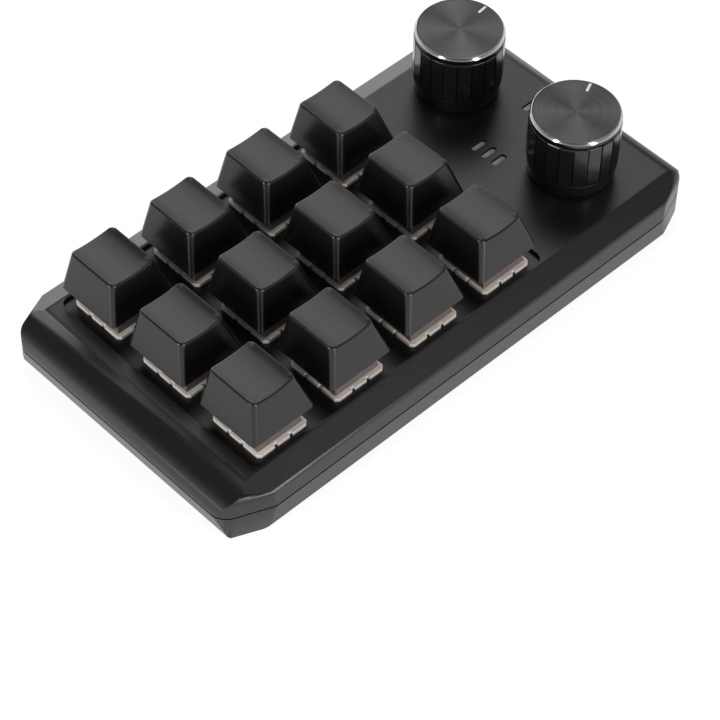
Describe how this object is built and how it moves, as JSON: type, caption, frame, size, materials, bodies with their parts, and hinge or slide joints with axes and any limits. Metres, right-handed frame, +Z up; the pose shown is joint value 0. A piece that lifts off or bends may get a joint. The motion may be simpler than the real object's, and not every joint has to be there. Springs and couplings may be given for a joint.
{
  "type": "macro keypad with knobs",
  "caption": "Shallow two-piece case with rows of sprung mechanical keys and two pressable rotary encoder knobs, for shortcuts and dial adjustments beside a computer.",
  "frame": {"origin": "on the desk under the middle of the case, level with the undersides of the feet", "axes": "+Z up, +X from the keys to the knobs along the long side, +Y to the back edge with the cable inlet"},
  "size_m": [0.147, 0.078, 0.0337],
  "materials": {
    "case_plastic": "satin black, fine spark-eroded grain",
    "keycap_plastic": "matte charcoal with a fine grain",
    "switch_housing": "milky translucent cream, smooth",
    "stem_plastic": "smooth low-friction cream",
    "spring_steel": "bright drawn wire",
    "contact_brass": "gold flashed",
    "knob_plastic": "glossy black",
    "knob_disc": "dark anodised, turned face and bright cut rim",
    "pointer_white": "white inlay",
    "shaft_steel": "ground",
    "encoder_metal": "zinc plated housing",
    "screw_steel": "black oxide",
    "foot_rubber": "matte",
    "board_laminate": "solder mask, dark green",
    "chip_epoxy": "matte",
    "lamp_white": "white with yellow phosphor",
    "inlet_steel": "drawn shell",
    "window_diffuser": "frosted light grey"
  },
  "bodies": {
    "case": {"top_shell": "case_plastic", "bottom_shell": "case_plastic", "case_screws": "screw_steel", "rubber_feet": "foot_rubber", "switch_bases": "switch_housing", "switch_covers": "switch_housing", "switch_pins": "contact_brass", "circuit_board": "board_laminate", "controller_chip": "chip_epoxy", "indicator_leds": "lamp_white", "usb_inlet": "inlet_steel", "indicator_windows": "window_diffuser", "encoder_base_back": "encoder_metal", "encoder_base_front": "encoder_metal", "switch_spring_1_1": "spring_steel", "switch_spring_1_2": "spring_steel", "switch_spring_1_3": "spring_steel", "switch_spring_1_4": "spring_steel", "switch_spring_2_1": "spring_steel", "switch_spring_2_2": "spring_steel", "switch_spring_2_3": "spring_steel", "switch_spring_2_4": "spring_steel", "switch_spring_3_1": "spring_steel", "switch_spring_3_2": "spring_steel", "switch_spring_3_3": "spring_steel", "switch_spring_3_4": "spring_steel"},
    "key_1_1": {"keycap_1_1": "keycap_plastic", "switch_stem_1_1": "stem_plastic"},
    "key_1_2": {"keycap_1_2": "keycap_plastic", "switch_stem_1_2": "stem_plastic"},
    "key_1_3": {"keycap_1_3": "keycap_plastic", "switch_stem_1_3": "stem_plastic"},
    "key_1_4": {"keycap_1_4": "keycap_plastic", "switch_stem_1_4": "stem_plastic"},
    "key_2_1": {"keycap_2_1": "keycap_plastic", "switch_stem_2_1": "stem_plastic"},
    "key_2_2": {"keycap_2_2": "keycap_plastic", "switch_stem_2_2": "stem_plastic"},
    "key_2_3": {"keycap_2_3": "keycap_plastic", "switch_stem_2_3": "stem_plastic"},
    "key_2_4": {"keycap_2_4": "keycap_plastic", "switch_stem_2_4": "stem_plastic"},
    "key_3_1": {"keycap_3_1": "keycap_plastic", "switch_stem_3_1": "stem_plastic"},
    "key_3_2": {"keycap_3_2": "keycap_plastic", "switch_stem_3_2": "stem_plastic"},
    "key_3_3": {"keycap_3_3": "keycap_plastic", "switch_stem_3_3": "stem_plastic"},
    "key_3_4": {"keycap_3_4": "keycap_plastic", "switch_stem_3_4": "stem_plastic"},
    "knob_press_back": {"encoder_plunger_back": "stem_plastic"},
    "knob_turn_back": {"knob_body_back": "knob_plastic", "knob_cap_back": "knob_disc", "knob_pointer_back": "pointer_white", "encoder_shaft_back": "shaft_steel"},
    "knob_press_front": {"encoder_plunger_front": "stem_plastic"},
    "knob_turn_front": {"knob_body_front": "knob_plastic", "knob_cap_front": "knob_disc", "knob_pointer_front": "pointer_white", "encoder_shaft_front": "shaft_steel"}
  },
  "joints": [
    {"name": "key_press_1_1", "type": "slide", "parent": "case", "child": "key_1_1", "axis": [0, 0, -1], "range_m": [0, 0.004], "stiffness_N_per_m": 75, "springref_m": -0.004, "deforming": ["switch_spring_1_1"]},
    {"name": "key_press_1_2", "type": "slide", "parent": "case", "child": "key_1_2", "axis": [0, 0, -1], "range_m": [0, 0.004], "stiffness_N_per_m": 75, "springref_m": -0.004, "deforming": ["switch_spring_1_2"]},
    {"name": "key_press_1_3", "type": "slide", "parent": "case", "child": "key_1_3", "axis": [0, 0, -1], "range_m": [0, 0.004], "stiffness_N_per_m": 75, "springref_m": -0.004, "deforming": ["switch_spring_1_3"]},
    {"name": "key_press_1_4", "type": "slide", "parent": "case", "child": "key_1_4", "axis": [0, 0, -1], "range_m": [0, 0.004], "stiffness_N_per_m": 75, "springref_m": -0.004, "deforming": ["switch_spring_1_4"]},
    {"name": "key_press_2_1", "type": "slide", "parent": "case", "child": "key_2_1", "axis": [0, 0, -1], "range_m": [0, 0.004], "stiffness_N_per_m": 75, "springref_m": -0.004, "deforming": ["switch_spring_2_1"]},
    {"name": "key_press_2_2", "type": "slide", "parent": "case", "child": "key_2_2", "axis": [0, 0, -1], "range_m": [0, 0.004], "stiffness_N_per_m": 75, "springref_m": -0.004, "deforming": ["switch_spring_2_2"]},
    {"name": "key_press_2_3", "type": "slide", "parent": "case", "child": "key_2_3", "axis": [0, 0, -1], "range_m": [0, 0.004], "stiffness_N_per_m": 75, "springref_m": -0.004, "deforming": ["switch_spring_2_3"]},
    {"name": "key_press_2_4", "type": "slide", "parent": "case", "child": "key_2_4", "axis": [0, 0, -1], "range_m": [0, 0.004], "stiffness_N_per_m": 75, "springref_m": -0.004, "deforming": ["switch_spring_2_4"]},
    {"name": "key_press_3_1", "type": "slide", "parent": "case", "child": "key_3_1", "axis": [0, 0, -1], "range_m": [0, 0.004], "stiffness_N_per_m": 75, "springref_m": -0.004, "deforming": ["switch_spring_3_1"]},
    {"name": "key_press_3_2", "type": "slide", "parent": "case", "child": "key_3_2", "axis": [0, 0, -1], "range_m": [0, 0.004], "stiffness_N_per_m": 75, "springref_m": -0.004, "deforming": ["switch_spring_3_2"]},
    {"name": "key_press_3_3", "type": "slide", "parent": "case", "child": "key_3_3", "axis": [0, 0, -1], "range_m": [0, 0.004], "stiffness_N_per_m": 75, "springref_m": -0.004, "deforming": ["switch_spring_3_3"]},
    {"name": "key_press_3_4", "type": "slide", "parent": "case", "child": "key_3_4", "axis": [0, 0, -1], "range_m": [0, 0.004], "stiffness_N_per_m": 75, "springref_m": -0.004, "deforming": ["switch_spring_3_4"]},
    {"name": "knob_push_back", "type": "slide", "parent": "case", "child": "knob_press_back", "axis": [0, 0, -1], "range_m": [0, 0.0005], "stiffness_N_per_m": 1500, "springref_m": -0.0015},
    {"name": "knob_rotation_back", "type": "hinge", "parent": "knob_press_back", "child": "knob_turn_back", "pos_m": [0.0528, 0.0211, 0], "axis": [0, 0, 1], "continuous": true},
    {"name": "knob_push_front", "type": "slide", "parent": "case", "child": "knob_press_front", "axis": [0, 0, -1], "range_m": [0, 0.0005], "stiffness_N_per_m": 1500, "springref_m": -0.0015},
    {"name": "knob_rotation_front", "type": "hinge", "parent": "knob_press_front", "child": "knob_turn_front", "pos_m": [0.0528, -0.0167, 0], "axis": [0, 0, 1], "continuous": true}
  ]
}
